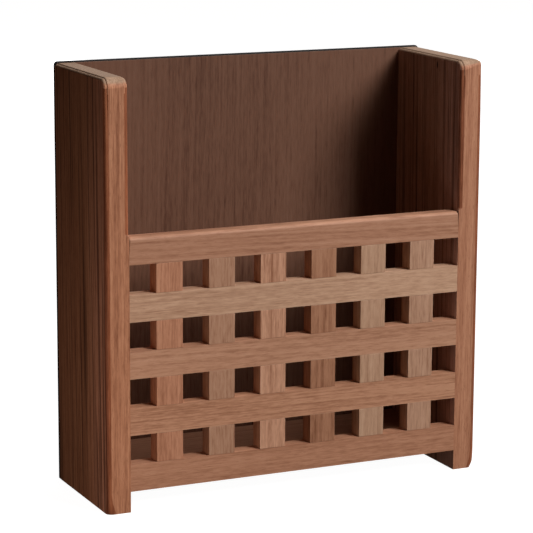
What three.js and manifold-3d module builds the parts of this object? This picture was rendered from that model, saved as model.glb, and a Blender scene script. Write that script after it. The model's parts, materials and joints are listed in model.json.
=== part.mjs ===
// Teak magazine rack: two solid side boards, a half-lapped lattice front, a bottom board
// housed in the sides and a thin back panel screwed on from behind.
// Millimetres. +X to the right, +Y to the back, +Z up; the lattice faces -Y.
// The origin is on the floor, in the middle of the rack's footprint.

import * as THREE from 'three';
import { mergeVertices } from 'three/addons/utils/BufferGeometryUtils.js';
import Module from 'manifold-3d';

const wasm = await Module();
wasm.setup();

// ---- driving dimensions ----
const WIDTH = 270;            // outside, over both side boards
const DEPTH = 92;             // outside, lattice face to back panel
const HEIGHT = 283;           // floor to the top of the back panel
const BACK_PROUD = 1;         // the back panel stands this far above the side boards
const SIDE_THICK = 16;
const BACK_THICK = 3;
const LATTICE_THICK = 11;     // rails and slats are flush, front and back
const COLUMNS = 7;            // openings across the lattice
const ROWS = 4;               // openings up the lattice
const RAIL_HEIGHT = 17.8;
const ROW_PITCH = 37.2;       // one rail and one opening
const FOOT_HEIGHT = 13.8;     // floor to the underside of the bottom rail
const BOARD_THICK = 8;        // bottom board

const CORNER_RADIUS = 6.5;      // top front corner of a side board, seen from the side
const EDGE_ROUND = 2;         // routed round along the top and front edges of a side board
const EDGE_STEP = 1;          // small square step that the cutter leaves above that round
const RAIL_ROUND = 2.5;       // top front edge of the top rail
const BACK_ROUND = 2.5;       // top corners of the back panel
const BEVEL_FACETS = 3;       // across a routed round
const CURVE_FACETS = 5;       // along a rounded corner

const JOINT_GAP = 0.3;        // glue clearance of every cut joint
const STOPPED_LAP = 10;       // how far a slat's end runs into the top and bottom rails
const HOUSING_DEPTH = 5;      // groove in the side boards for the bottom board
const DOWEL_RADIUS = 3;
const DOWEL_IN_SIDE = 10;
const DOWEL_IN_RAIL = 15;
const SCREW_RADIUS = 1.5;
const SCREW_LENGTH = 15;
const SCREW_POINT = 2;
const SCREW_HEAD_RADIUS = 3;
const SCREW_HEAD_DEPTH = 1.8;
const SCREWS_PER_SIDE = 4;
const SCREWS_IN_BOARD = 2;
const SCREW_END = 22;         // end screws to the bottom board's underside and the panel's top
const ROUND_SIDES = 16;       // facets round a dowel, a screw and their holes

// ---- dimensions that follow ----
const HALF_WIDTH = WIDTH / 2;
const INNER_WIDTH = WIDTH - 2 * SIDE_THICK;
const INNER_X = INNER_WIDTH / 2;
const SLAT_WIDTH = INNER_WIDTH / (2 * COLUMNS - 1);
const FRONT_Y = -DEPTH / 2;
const LATTICE_BACK_Y = FRONT_Y + LATTICE_THICK;
const LAP_Y = FRONT_Y + LATTICE_THICK / 2;
const BACK_Y = DEPTH / 2;
const SIDE_BACK_Y = BACK_Y - BACK_THICK;
const SIDE_TOP_Z = HEIGHT - BACK_PROUD;
const RAIL_COUNT = ROWS + 1;
const SLAT_COUNT = COLUMNS - 1;
const TOP_RAIL_Z = FOOT_HEIGHT + ROWS * ROW_PITCH;
const TOP_RAIL_TOP_Z = TOP_RAIL_Z + RAIL_HEIGHT;
const BOARD_TOP_Z = FOOT_HEIGHT + BOARD_THICK;
const CUT_PAST = 5;           // how far a cutter runs past the face that it opens

// ---- finishes ----
const teak = (color) => new THREE.MeshStandardMaterial({ color, roughness: 0.6, metalness: 0 });
const steel = (color) => new THREE.MeshStandardMaterial({ color, roughness: 0.35, metalness: 1 });
const TEAK_SIDE = 0x9c6b4a;
const TEAK_RAIL = 0xa0704f;
const TEAK_SLAT = 0xa9775a;
const TEAK_BOARD = 0x7a4f36;
const BACK_BROWN = 0x5a3a28;
const BEECH = 0xd2b48a;
const STEEL_GREY = 0xb8b8b4;

// ---- solids ----
// A closed three.js geometry as a manifold solid, its shared corners merged.
function solid(geometry) {
  geometry.deleteAttribute('normal');
  geometry.deleteAttribute('uv');
  const merged = mergeVertices(geometry, 1e-4);
  return new wasm.Manifold(new wasm.Mesh({
    numProp: 3,
    vertProperties: new Float32Array(merged.attributes.position.array),
    triVerts: new Uint32Array(merged.index.array),
  }));
}

// A manifold solid as a flat-shaded three.js geometry.
function geometryOf(body) {
  const mesh = body.getMesh();
  const geometry = new THREE.BufferGeometry();
  geometry.setAttribute('position', new THREE.BufferAttribute(mesh.vertProperties, 3));
  geometry.setIndex(new THREE.BufferAttribute(mesh.triVerts, 1));
  geometry.computeVertexNormals();
  return geometry;
}

// A box between two corners.
function block(low, high) {
  const size = high.map((value, axis) => value - low[axis]);
  const geometry = new THREE.BoxGeometry(...size);
  geometry.translate(...low.map((value, axis) => value + size[axis] / 2));
  return solid(geometry);
}

// A round bar along X from x0 to x1.
function barAlongX(radius, x0, x1, y, z) {
  const geometry = new THREE.CylinderGeometry(radius, radius, x1 - x0, ROUND_SIDES);
  geometry.rotateZ(Math.PI / 2);
  geometry.translate((x0 + x1) / 2, y, z);
  return solid(geometry);
}

// A profile drawn in Y and Z, pushed out along X from x0 to x1. A round, if any, is added to
// both of its faces, inside that length.
function alongX(shape, x0, x1, round = 0) {
  const geometry = new THREE.ExtrudeGeometry(shape, {
    depth: x1 - x0 - 2 * round,
    bevelEnabled: round > 0,
    bevelThickness: round,
    bevelSize: round,
    bevelOffset: -round,
    bevelSegments: BEVEL_FACETS,
    curveSegments: CURVE_FACETS,
  });
  geometry.rotateX(Math.PI / 2);
  geometry.rotateZ(Math.PI / 2);
  geometry.translate(x0 + round, 0, 0);
  return solid(geometry);
}

// A profile drawn in X and Z, pushed out along Y for a depth that ends at y1.
function alongY(shape, depth, y1) {
  const geometry = new THREE.ExtrudeGeometry(shape, {
    depth,
    bevelEnabled: false,
    curveSegments: CURVE_FACETS,
  });
  geometry.rotateX(Math.PI / 2);
  geometry.translate(0, y1, 0);
  return solid(geometry);
}

// ---- places ----
const openingX = (column) => -INNER_X + 2 * column * SLAT_WIDTH;
const slatX = (slat) => openingX(slat) + SLAT_WIDTH;
const railZ = (rail) => FOOT_HEIGHT + rail * ROW_PITCH;
const latticeMidY = FRONT_Y + LATTICE_THICK / 2;
const railMidZ = (rail) => railZ(rail) + RAIL_HEIGHT / 2;

// Screws go evenly up each side and into the bottom board.
function screwPlaces() {
  const places = [];
  const low = FOOT_HEIGHT + SCREW_END;
  const rise = (HEIGHT - SCREW_END - low) / (SCREWS_PER_SIDE - 1);
  for (const side of [-1, 1]) {
    for (let n = 0; n < SCREWS_PER_SIDE; n += 1) {
      places.push([side * (HALF_WIDTH - SIDE_THICK / 2), low + n * rise]);
    }
  }
  for (let n = 0; n < SCREWS_IN_BOARD; n += 1) {
    const share = (n + 0.5) / SCREWS_IN_BOARD - 0.5;
    places.push([share * INNER_WIDTH, FOOT_HEIGHT + BOARD_THICK / 2]);
  }
  return places;
}

// A countersunk screw that points forward from the back face, or the hole for one with a gap.
function screwSolid(x, z, gap = 0) {
  const proud = gap > 0 ? CUT_PAST : 0;
  const profile = [
    new THREE.Vector2(0, -proud),
    new THREE.Vector2(SCREW_HEAD_RADIUS + gap, -proud),
    new THREE.Vector2(SCREW_HEAD_RADIUS + gap, gap),
    new THREE.Vector2(SCREW_RADIUS + gap, SCREW_HEAD_DEPTH + gap),
    new THREE.Vector2(SCREW_RADIUS + gap, SCREW_LENGTH - SCREW_POINT + gap),
    new THREE.Vector2(0, SCREW_LENGTH + gap),
  ];
  const geometry = new THREE.LatheGeometry(profile, ROUND_SIDES);
  geometry.rotateX(Math.PI);
  geometry.translate(x, BACK_Y, z);
  return solid(geometry);
}

// The outline of a side board seen from its side, set in from its top and front edges. It runs
// past the back and the floor, where the board is cut square afterwards.
function sideOutline(inset) {
  const front = FRONT_Y + inset;
  const top = SIDE_TOP_Z - inset;
  const radius = CORNER_RADIUS - inset;
  const shape = new THREE.Shape();
  shape.moveTo(front, -2 * CUT_PAST);
  shape.lineTo(SIDE_BACK_Y + 2 * CUT_PAST, -2 * CUT_PAST);
  shape.lineTo(SIDE_BACK_Y + 2 * CUT_PAST, top);
  shape.lineTo(front + radius, top);
  shape.absarc(front + radius, top - radius, radius, Math.PI / 2, Math.PI, false);
  shape.closePath();
  return shape;
}

// A side board: side is -1 for the left one and 1 for the right one.
function sideBoard(side) {
  const outer = side * HALF_WIDTH;
  const inner = side * INNER_X;
  const [x0, x1] = [Math.min(outer, inner), Math.max(outer, inner)];
  const core = alongX(sideOutline(0), x0 + EDGE_ROUND, x1 - EDGE_ROUND);
  const full = alongX(sideOutline(EDGE_STEP), x0, x1, EDGE_ROUND);
  let board = core.add(full);
  // Beside the lattice the inner front edge stays square.
  const squareEdge = inner + side * 2 * EDGE_ROUND;
  const edgeX = [Math.min(inner, squareEdge), Math.max(inner, squareEdge)];
  board = board.add(block([edgeX[0], FRONT_Y, 0], [edgeX[1], LATTICE_BACK_Y, TOP_RAIL_TOP_Z]));
  board = board.intersect(block([x0, FRONT_Y, 0], [x1, SIDE_BACK_Y, SIDE_TOP_Z]));
  // The groove that holds the bottom board's end.
  const groove = inner + side * (HOUSING_DEPTH + JOINT_GAP);
  const mouth = inner - side * CUT_PAST;
  board = board.subtract(block(
    [Math.min(groove, mouth), LATTICE_BACK_Y, FOOT_HEIGHT - JOINT_GAP],
    [Math.max(groove, mouth), SIDE_BACK_Y + CUT_PAST, BOARD_TOP_Z + JOINT_GAP],
  ));
  // A dowel hole for each rail.
  const bottom = inner + side * (DOWEL_IN_SIDE + JOINT_GAP);
  for (let rail = 0; rail < RAIL_COUNT; rail += 1) {
    const [a, b] = [Math.min(bottom, mouth), Math.max(bottom, mouth)];
    board = board.subtract(barAlongX(DOWEL_RADIUS + JOINT_GAP, a, b, latticeMidY, railMidZ(rail)));
  }
  for (const [x, z] of screwPlaces().filter(([x]) => x > x0 && x < x1)) {
    board = board.subtract(screwSolid(x, z, JOINT_GAP));
  }
  return board;
}

// A rail's section seen from its end: square, with the top rail's top front edge rounded.
function railSection(z0, round) {
  const z1 = z0 + RAIL_HEIGHT;
  const shape = new THREE.Shape();
  shape.moveTo(FRONT_Y, z0);
  shape.lineTo(LATTICE_BACK_Y, z0);
  shape.lineTo(LATTICE_BACK_Y, z1);
  if (round > 0) {
    shape.lineTo(FRONT_Y + round, z1);
    shape.absarc(FRONT_Y + round, z1 - round, round, Math.PI / 2, Math.PI, false);
  } else {
    shape.lineTo(FRONT_Y, z1);
  }
  shape.closePath();
  return shape;
}

// Rail 0 is the bottom one. Its back half is notched for each slat; the end rails' notches stop
// inside the rail, so no slat shows on the top or underside of the lattice.
function rail(index) {
  const z0 = railZ(index);
  const z1 = z0 + RAIL_HEIGHT;
  const isTop = index === RAIL_COUNT - 1;
  let body = alongX(railSection(z0, isTop ? RAIL_ROUND : 0), -INNER_X, INNER_X);
  const low = index === 0 ? z1 - STOPPED_LAP : z0 - CUT_PAST;
  const high = isTop ? z0 + STOPPED_LAP : z1 + CUT_PAST;
  for (let slat = 0; slat < SLAT_COUNT; slat += 1) {
    body = body.subtract(block(
      [slatX(slat) - JOINT_GAP, LAP_Y, low],
      [slatX(slat) + SLAT_WIDTH + JOINT_GAP, LATTICE_BACK_Y + CUT_PAST, high],
    ));
  }
  const depth = DOWEL_IN_RAIL + JOINT_GAP;
  for (const side of [-1, 1]) {
    const [a, b] = [side * (INNER_X - depth), side * (INNER_X + CUT_PAST)];
    const hole = [Math.min(a, b), Math.max(a, b)];
    body = body.subtract(barAlongX(DOWEL_RADIUS + JOINT_GAP, ...hole, latticeMidY, railMidZ(index)));
  }
  return body;
}

// A slat: full height at the back, and filling each opening between two rails at the front.
function slat(index) {
  const x0 = slatX(index);
  const x1 = x0 + SLAT_WIDTH;
  const end = STOPPED_LAP - JOINT_GAP;
  const bottom = railZ(0) + RAIL_HEIGHT - end;
  let body = block([x0, FRONT_Y, bottom], [x1, LATTICE_BACK_Y, TOP_RAIL_Z + end]);
  for (let lap = 0; lap < RAIL_COUNT; lap += 1) {
    body = body.subtract(block(
      [x0 - CUT_PAST, FRONT_Y - CUT_PAST, railZ(lap) - JOINT_GAP],
      [x1 + CUT_PAST, LAP_Y + JOINT_GAP, railZ(lap) + RAIL_HEIGHT + JOINT_GAP],
    ));
  }
  return body;
}

function bottomBoard() {
  const reach = INNER_X + HOUSING_DEPTH;
  let body = block([-reach, LATTICE_BACK_Y, FOOT_HEIGHT], [reach, SIDE_BACK_Y, BOARD_TOP_Z]);
  for (const [x, z] of screwPlaces().filter(([x]) => Math.abs(x) < INNER_X)) {
    body = body.subtract(screwSolid(x, z, JOINT_GAP));
  }
  return body;
}

// The back panel reaches from the floor to just above the side boards.
function backPanel() {
  const shape = new THREE.Shape();
  const corner = HALF_WIDTH - BACK_ROUND;
  shape.moveTo(-HALF_WIDTH, 0);
  shape.lineTo(HALF_WIDTH, 0);
  shape.lineTo(HALF_WIDTH, HEIGHT - BACK_ROUND);
  shape.absarc(corner, HEIGHT - BACK_ROUND, BACK_ROUND, 0, Math.PI / 2, false);
  shape.lineTo(-corner, HEIGHT);
  shape.absarc(-corner, HEIGHT - BACK_ROUND, BACK_ROUND, Math.PI / 2, Math.PI, false);
  shape.closePath();
  let body = alongY(shape, BACK_THICK, BACK_Y);
  for (const [x, z] of screwPlaces()) {
    body = body.subtract(screwSolid(x, z, JOINT_GAP));
  }
  return body;
}

function dowel(side, index) {
  const [a, b] = [side * (INNER_X - DOWEL_IN_RAIL), side * (INNER_X + DOWEL_IN_SIDE)];
  return barAlongX(DOWEL_RADIUS, Math.min(a, b), Math.max(a, b), latticeMidY, railMidZ(index));
}

// ---- the assembly ----
const rack = new THREE.Group();

function place(name, body, material, group = rack) {
  const mesh = new THREE.Mesh(geometryOf(body), material);
  mesh.name = name;
  group.add(mesh);
}

place('left_side_board', sideBoard(-1), teak(TEAK_SIDE));
place('right_side_board', sideBoard(1), teak(TEAK_SIDE));
place('bottom_board', bottomBoard(), teak(TEAK_BOARD));
place('back_panel', backPanel(), teak(BACK_BROWN));

const lattice = new THREE.Group();
rack.add(lattice);
const RAIL_NAMES = ['bottom_rail', 'lower_rail', 'middle_rail', 'upper_rail', 'top_rail'];
RAIL_NAMES.forEach((name, index) => {
  place(name, rail(index), teak(TEAK_RAIL), lattice);
  place(`${name}_dowel_left`, dowel(-1, index), teak(BEECH), lattice);
  place(`${name}_dowel_right`, dowel(1, index), teak(BEECH), lattice);
});
for (let index = 0; index < SLAT_COUNT; index += 1) {
  place(`slat_${index + 1}`, slat(index), teak(TEAK_SLAT), lattice);
}

screwPlaces().forEach(([x, z], index) => {
  place(`back_screw_${index + 1}`, screwSolid(x, z), steel(STEEL_GREY));
});

export default rack;
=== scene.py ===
"""The finished look of a teak magazine rack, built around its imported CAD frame.

Metres, +X to the right, +Y to the back, +Z up; the lattice faces -Y.
"""

import json
import logging
import math
from collections.abc import Callable, Iterable, Sequence
from dataclasses import dataclass
from enum import Enum
from typing import Union

import bmesh
import bpy
from mathutils import Euler, Matrix, Vector

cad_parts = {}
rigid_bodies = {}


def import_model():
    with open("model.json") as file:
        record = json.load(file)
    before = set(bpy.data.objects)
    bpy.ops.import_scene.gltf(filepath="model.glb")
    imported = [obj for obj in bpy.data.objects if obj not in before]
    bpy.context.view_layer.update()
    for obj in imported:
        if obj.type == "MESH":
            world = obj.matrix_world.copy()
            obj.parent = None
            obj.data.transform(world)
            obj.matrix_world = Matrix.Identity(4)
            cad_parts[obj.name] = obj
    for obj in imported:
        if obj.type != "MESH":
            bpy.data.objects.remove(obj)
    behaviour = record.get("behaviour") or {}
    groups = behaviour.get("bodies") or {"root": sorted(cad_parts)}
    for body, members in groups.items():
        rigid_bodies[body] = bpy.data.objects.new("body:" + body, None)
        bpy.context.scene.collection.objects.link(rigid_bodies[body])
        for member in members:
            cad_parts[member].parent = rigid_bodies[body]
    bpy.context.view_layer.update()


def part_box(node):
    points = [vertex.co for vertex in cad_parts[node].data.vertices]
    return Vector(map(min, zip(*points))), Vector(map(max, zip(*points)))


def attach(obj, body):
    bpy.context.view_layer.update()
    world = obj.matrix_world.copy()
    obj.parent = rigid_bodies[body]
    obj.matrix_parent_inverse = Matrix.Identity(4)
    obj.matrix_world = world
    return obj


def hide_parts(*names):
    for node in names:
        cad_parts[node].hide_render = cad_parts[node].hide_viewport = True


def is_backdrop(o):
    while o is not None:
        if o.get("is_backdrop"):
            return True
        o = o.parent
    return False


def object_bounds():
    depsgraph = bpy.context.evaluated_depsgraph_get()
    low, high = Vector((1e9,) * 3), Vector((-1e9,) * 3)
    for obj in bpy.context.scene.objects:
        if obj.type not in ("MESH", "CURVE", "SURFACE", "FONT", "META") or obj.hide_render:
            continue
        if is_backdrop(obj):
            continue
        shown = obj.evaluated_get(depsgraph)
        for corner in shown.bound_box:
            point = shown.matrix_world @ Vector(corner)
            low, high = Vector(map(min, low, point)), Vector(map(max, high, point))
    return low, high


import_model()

log = logging.getLogger("magazine_rack")

MM = 0.001
BODY = "root"
RAILS = ("bottom_rail", "lower_rail", "middle_rail", "upper_rail", "top_rail")
SLATS = tuple(f"slat_{number}" for number in range(1, 7))
SCREWS = tuple(f"back_screw_{number}" for number in range(1, 11))
DOWELS = tuple(f"{rail}_dowel_{side}" for rail in RAILS for side in ("left", "right"))

Colour = tuple[float, float, float]
Point = tuple[float, float, float]
Pair = tuple[float, float]
Object = bpy.types.Object
Material = bpy.types.Material
Node = bpy.types.Node
Socket = bpy.types.NodeSocket
BMesh = bmesh.types.BMesh
Value = Union[float, Point, Socket]


# ---------------------------------------------------------------- node graphs
class Graph:
    """Short calls for filling one shader or geometry node tree."""

    def __init__(self, tree: bpy.types.NodeTree) -> None:
        """Works on the given tree."""
        self.tree = tree

    def feed(self, node: Node, inputs: dict[int | str, Value]) -> None:
        """Links or sets some of a node's inputs.

        Args:
            node: The node.
            inputs: Socket name or number to a value, or to the output that feeds it.
        """
        for key, value in inputs.items():
            if isinstance(value, Socket):
                self.tree.links.new(value, node.inputs[key])
            else:
                node.inputs[key].default_value = value

    def add(self, kind: str, inputs: dict[int | str, Value] | None = None, **settings: str) -> Node:
        """Adds one node.

        Args:
            kind: Blender's type name of the node.
            inputs: What it is fed.
            settings: Properties of the node, such as its operation.

        Returns:
            The new node.
        """
        node = self.tree.nodes.new(kind)
        for name, value in settings.items():
            setattr(node, name, value)
        self.feed(node, inputs or {})
        return node

    def math(self, operation: str, first: Value, second: Value = 0.0) -> Socket:
        """Returns the output of one Math node."""
        return self.add("ShaderNodeMath", {0: first, 1: second}, operation=operation).outputs[0]

    def times(self, first: Value, second: Value) -> Socket:
        """Returns the product of two numbers."""
        return self.math("MULTIPLY", first, second)

    def vector(self, operation: str, first: Value, second: Value) -> Socket:
        """Returns the output of one Vector Math node."""
        values = {0: first, 1: second}
        return self.add("ShaderNodeVectorMath", values, operation=operation).outputs["Vector"]

    def length(self, first: Value) -> Socket:
        """Returns how long a vector is."""
        return self.add("ShaderNodeVectorMath", {0: first}, operation="LENGTH").outputs["Value"]

    def span(self, value: Value, low: float, high: float) -> Socket:
        """Returns low..high stretched to 0..1, clamped and smoothed."""
        values = {"Value": value, "From Min": low, "From Max": high}
        return self.add("ShaderNodeMapRange", values, interpolation_type="SMOOTHSTEP").outputs["Result"]

    def without(self, share: Value) -> Socket:
        """Returns what is left of 1."""
        return self.math("SUBTRACT", 1.0, share)

    def mix(self, factor: Value, first: Value, second: Value, blend: str = "MIX") -> Socket:
        """Mixes two colours.

        Args:
            factor: Share of the second.
            first: One colour.
            second: The other.
            blend: Blender's name for the way.

        Returns:
            The mixed colour.
        """
        inputs = {"Factor": factor}
        for key, value in ((6, first), (7, second)):
            inputs[key] = value if isinstance(value, Socket) else (*value, 1.0)
        return self.add("ShaderNodeMix", inputs, data_type="RGBA", blend_type=blend).outputs[2]

    def tinted(self, colour: Value, tint: Value) -> Socket:
        """Returns one colour multiplied by another."""
        return self.mix(1.0, colour, tint, "MULTIPLY")

    def coordinate(self, kind: str) -> Socket:
        """Returns the point's own Object place or Normal."""
        return self.add("ShaderNodeTexCoord").outputs[kind]

    def part(self, kind: str, axis: str) -> Socket:
        """Returns one axis of a coordinate."""
        return self.add("ShaderNodeSeparateXYZ", {0: self.coordinate(kind)}).outputs[axis]

    def mark(self, name: str) -> Socket:
        """Returns a number that the mesh carries on its faces."""
        return self.add("ShaderNodeAttribute", attribute_name=name).outputs["Fac"]

    def bump(self, height: Value, strength: float, distance: float) -> Socket:
        """Returns the normal of a surface with the given relief."""
        values = {"Height": height, "Strength": strength, "Distance": distance}
        return self.add("ShaderNodeBump", values).outputs["Normal"]


def new_surface(name: str) -> tuple[Material, Graph, Node]:
    """Makes a material with one Principled shader.

    Args:
        name: The material's name.

    Returns:
        The material, its graph and the shader node.
    """
    material = bpy.data.materials.new(name)
    material.use_nodes = True
    graph = Graph(material.node_tree)
    material.node_tree.nodes.clear()
    shader = graph.add("ShaderNodeBsdfPrincipled")
    graph.add("ShaderNodeOutputMaterial", {"Surface": shader.outputs["BSDF"]})
    return material, graph, shader


@dataclass(frozen=True)
class Figure:
    """One layer of noise: its spots per metre along each axis, and the span it is sharpened to."""

    stretch: Point
    detail: float = 2.0
    rough: float = 0.5
    span: Pair | None = None

    def read(self, graph: Graph, place: Socket) -> Socket:
        """Reads the layer.

        Args:
            graph: The material's graph.
            place: Where it is read.

        Returns:
            The noise, about 0 to 1.
        """
        scaled = graph.vector("MULTIPLY", place, self.stretch)
        values = {"Vector": scaled, "Scale": 1.0, "Detail": self.detail, "Roughness": self.rough}
        noise = graph.add("ShaderNodeTexNoise", values).outputs["Fac"]
        return graph.span(noise, *self.span) if self.span else noise


# ---------------------------------------------------------------- finishes
PORES = Figure((1900.0, 1900.0, 240.0), span=(0.58, 0.70))
STREAKS = Figure((330.0, 330.0, 5.0), rough=0.6)
THREADS = Figure((820.0, 820.0, 13.0), rough=0.6)
MOTTLE = Figure((620.0, 620.0, 110.0), rough=0.6)
BROAD = Figure((13.0, 13.0, 2.6), detail=1.0)
BANDS = Figure((8.0, 300.0, 4.0), detail=3.0, rough=0.65, span=(0.48, 0.68))
SPECKLE = Figure((1150.0, 1150.0, 500.0), rough=0.7, span=(0.42, 0.62))
UNEVEN = Figure((90.0, 90.0, 40.0), span=(0.35, 0.75))
RAGGED = Figure((900.0, 900.0, 500.0))
FLECKS = Figure((400.0, 400.0, 400.0))
SCUFFS = Figure((900.0, 3000.0, 900.0), detail=3.0, rough=0.6)
STAINS = Figure((260.0, 260.0, 260.0), span=(0.45, 0.75))
CLOUD = Figure((3.0, 3.0, 3.0))


class Grain(Enum):
    """Which way a board's fibres run, as the turn that brings them onto Z."""

    UPRIGHT = (0.0, 0.0, 0.0)
    ACROSS = (0.0, math.radians(-90.0), 0.0)


@dataclass(frozen=True)
class Knot:
    """A small dark pin knot: its middle, its half sizes and how it fades into the wood."""

    middle: Point
    reach: Point = (3.0 * MM, 1.3 * MM, 3.2 * MM)
    ragged: float = 0.7
    fade: Pair = (0.75, 1.5)
    colour: Colour = (0.018, 0.008, 0.005)


@dataclass(frozen=True)
class Wood:
    """Oiled timber, sawn from a log: growth rings, streaks, fibres, pores and end grain."""

    light: Colour = (0.520, 0.275, 0.175)
    middle: Colour = (0.430, 0.205, 0.122)
    dark: Colour = (0.215, 0.078, 0.038)
    tones: Point = (0.22, 0.50, 0.78)
    end: Colour = (0.405, 0.262, 0.178)
    end_dark: Colour = (0.235, 0.135, 0.080)
    end_speckle: float = 0.55
    end_span: Pair = (0.28, 0.62)
    tint: Colour = (1.0, 1.0, 1.0)
    grain: Grain = Grain.UPRIGHT
    pith: Pair = (0.14, 0.09)
    slope: float = 0.8
    seed: int = 1
    seed_step: Point = (0.37, 0.23, 1.9)
    ring_width: float = 2.6 * MM
    ring_wander: float = 14.0 * MM
    wander_rate: Point = (22.0, 22.0, 1.6)
    rings: float = 0.24
    streaks: float = 0.30
    threads: float = 0.26
    fibres: float = 0.34
    mottle: float = 0.36
    broad: float = 0.36
    face_streaks: float = 0.0
    face_span: Pair = (0.60, 0.95)
    face_tint: Colour = (1.0, 1.0, 1.0)
    streak_shade: float = 0.3
    # painted_front_light: painted bounce light, paling the side boards' wide faces towards the front
    painted_front_light: float = 0.0
    painted_light_reach: Pair = (-44.0 * MM, -5.0 * MM)
    pale: Colour = (1.9, 2.05, 2.6)
    # Lightens the arris_and_highlight faces: rubbed wear on eased edges, painted highlight on upward faces
    rubbed_and_highlit: Colour = (1.30, 1.33, 1.36)
    # Darkens the routed rounds down the side boards' front edges
    darkened_round: Colour = (0.62, 0.46, 0.37)
    pore_depth: float = 0.20
    fibre_spots: float = 2300.0
    fibre_rate: float = 90.0
    roughness: float = 0.48
    added_roughness: Point = (0.16, 0.12, 0.28)
    relief: float = 0.08 * MM
    knots: tuple[Knot, ...] = ()

    def offset(self) -> Vector:
        """Returns which part of the endless log the board is cut from."""
        return Vector([self.seed * step for step in self.seed_step])

    def place(self, graph: Graph, centre: Vector) -> Socket:
        """Puts the pattern on one board.

        Args:
            graph: The material's graph.
            centre: The board's middle.

        Returns:
            The position inside the log, with the fibres along Z.
        """
        turn = Euler(self.grain.value).to_matrix()
        lean = Euler((math.radians(self.slope), math.radians(-0.6 * self.slope), 0.0)).to_matrix()
        matrix = lean @ turn
        values = {
            "Vector": graph.coordinate("Object"),
            "Location": self.offset() - matrix @ centre,
            "Rotation": matrix.to_euler(),
        }
        return graph.add("ShaderNodeMapping", values).outputs["Vector"]

    def ring_pattern(self, graph: Graph, place: Socket) -> Socket:
        """Draws the growth rings.

        Args:
            graph: The material's graph.
            place: The position inside the log.

        Returns:
            Uneven bands by the distance from the wandering pith.
        """
        centre = self.offset() - Vector((*self.pith, 0.0))
        centre.z = 0.0
        start = graph.vector("SUBTRACT", graph.vector("MULTIPLY", place, (1.0, 1.0, 0.0)), centre)
        values = {"Vector": graph.vector("MULTIPLY", place, self.wander_rate), "Scale": 1.0, "Detail": 2.0}
        wander = graph.add("ShaderNodeTexNoise", values).outputs["Color"]
        wander = graph.vector("SUBTRACT", wander, (0.5, 0.5, 0.5))
        shift = graph.vector("MULTIPLY", wander, (self.ring_wander, self.ring_wander, 0.0))
        radius = graph.length(graph.vector("ADD", start, shift))
        count = graph.math("DIVIDE", radius, self.ring_width)
        values = {"W": count, "Scale": 1.0, "Detail": 2.0, "Roughness": 0.65}
        return graph.add("ShaderNodeTexNoise", values, noise_dimensions="1D").outputs["Fac"]

    def end_share(self, graph: Graph) -> Socket:
        """Returns how far a face cuts across the fibres, 0 to 1."""
        along = graph.part("Normal", "Z" if self.grain is Grain.UPRIGHT else "X")
        return graph.span(graph.math("ABSOLUTE", along), *self.end_span)

    def colour(self, graph: Graph, place: Socket) -> tuple[Socket, Socket, Socket]:
        """Lays rings, streaks, fibres, pores and the end grain over each other.

        Args:
            graph: The material's graph.
            place: The position inside the log.

        Returns:
            The colour, the fibres and the pores.
        """
        fibres = Figure((self.fibre_spots, self.fibre_spots, self.fibre_rate), rough=0.6).read(graph, place)
        pores = PORES.read(graph, place)
        layers = (
            (self.rings, self.ring_pattern(graph, place)),
            (self.streaks, STREAKS.read(graph, place)),
            (self.threads, THREADS.read(graph, place)),
            (self.fibres, fibres),
            (self.mottle, MOTTLE.read(graph, place)),
            (self.broad, BROAD.read(graph, place)),
        )
        tone = 0.5 - sum(weight for weight, _ in layers) / 2
        for weight, layer in layers:
            tone = graph.math("ADD", graph.times(layer, weight), tone)
        ramp = graph.add("ShaderNodeValToRGB", {"Fac": tone})
        stops = ramp.color_ramp.elements
        stops.new(self.tones[1])
        for stop, place_on, shade in zip(stops, self.tones, (self.dark, self.middle, self.light)):
            stop.position = place_on
            stop.color = (*shade, 1.0)
        colour = graph.tinted(ramp.outputs["Color"], self.tint)
        colour = graph.mix(graph.times(pores, self.pore_depth), colour, self.dark)
        if self.face_streaks > 0.0:
            colour = self.wide_faces(graph, place, colour)
        speckle = graph.times(SPECKLE.read(graph, place), self.end_speckle)
        end = graph.mix(speckle, self.end, self.end_dark)
        return graph.mix(self.end_share(graph), colour, end), fibres, pores

    def wide_faces(self, graph: Graph, place: Socket, colour: Socket) -> Socket:
        """Streaks and tints a side board's wide faces and paints light on them, paler towards the front.

        Args:
            graph: The material's graph.
            place: The position inside the log.
            colour: The wood's colour.

        Returns:
            The colour with that in it.
        """
        facing = graph.span(graph.math("ABSOLUTE", graph.part("Normal", "X")), *self.face_span)
        share = graph.times(graph.times(BANDS.read(graph, place), facing), self.face_streaks)
        colour = graph.mix(share, colour, tuple(self.streak_shade * part for part in self.dark))
        # Painted bounce light: the wide faces grow paler towards the front
        pale = graph.without(graph.span(graph.part("Object", "Y"), *self.painted_light_reach))
        pale = graph.times(graph.times(pale, facing), self.painted_front_light)
        colour = graph.mix(pale, colour, graph.tinted(colour, self.pale))
        return graph.mix(facing, colour, graph.tinted(colour, self.face_tint))

    def aged(self, graph: Graph, place: Socket, colour: Socket) -> Socket:
        """Lightens the marked faces, as rubbed wear on eased edges and as painted highlight on upward faces,
        darkens the front-edge rounds, and adds the knots.

        Args:
            graph: The material's graph.
            place: The position inside the log.
            colour: The wood's colour.

        Returns:
            The colour with that in it.
        """
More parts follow.
